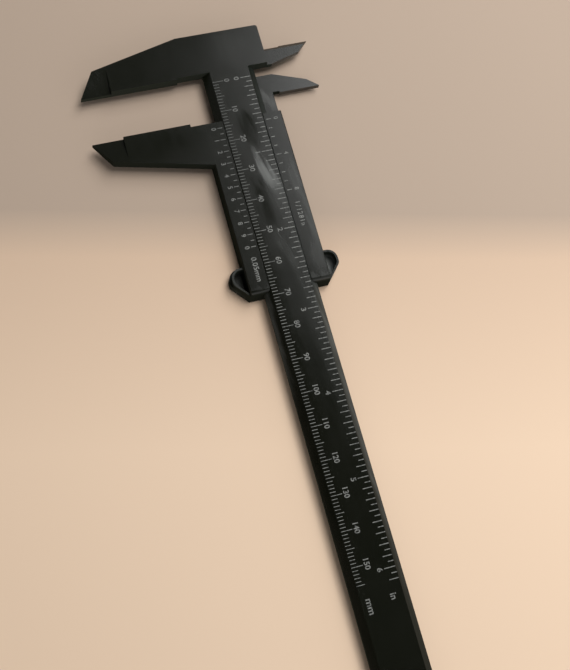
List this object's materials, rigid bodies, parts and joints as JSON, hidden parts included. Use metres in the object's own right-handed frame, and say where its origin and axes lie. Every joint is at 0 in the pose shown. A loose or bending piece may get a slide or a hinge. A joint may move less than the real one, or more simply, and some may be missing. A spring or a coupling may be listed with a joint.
{
  "type": "vernier caliper",
  "caption": "Moulded plastic vernier caliper: beam with a scale face and fixed jaws, a slide with verniers, jaws and thumb lugs, and a depth rod.",
  "frame": {"origin": "zero of the millimetre scale on the centreline of the beam's front face", "axes": "+X along the beam from the jaws to the tail, +Y across it towards the inside jaws, +Z out of the scale face"},
  "size_m": [0.2453, 0.0726, 0.0064],
  "materials": {
    "beam_plastic": "satin moulded black with light grey printed scales",
    "slider_plastic": "satin moulded black with light grey printed verniers",
    "rod_plastic": "satin moulded black"
  },
  "bodies": {
    "beam": {"beam": "beam_plastic"},
    "slider": {"slider": "slider_plastic", "depth_rod": "rod_plastic"}
  },
  "joints": [
    {"name": "slide", "type": "slide", "parent": "beam", "child": "slider", "axis": [1, 0, 0], "range_m": [-0.0153, 0.1347]}
  ]
}
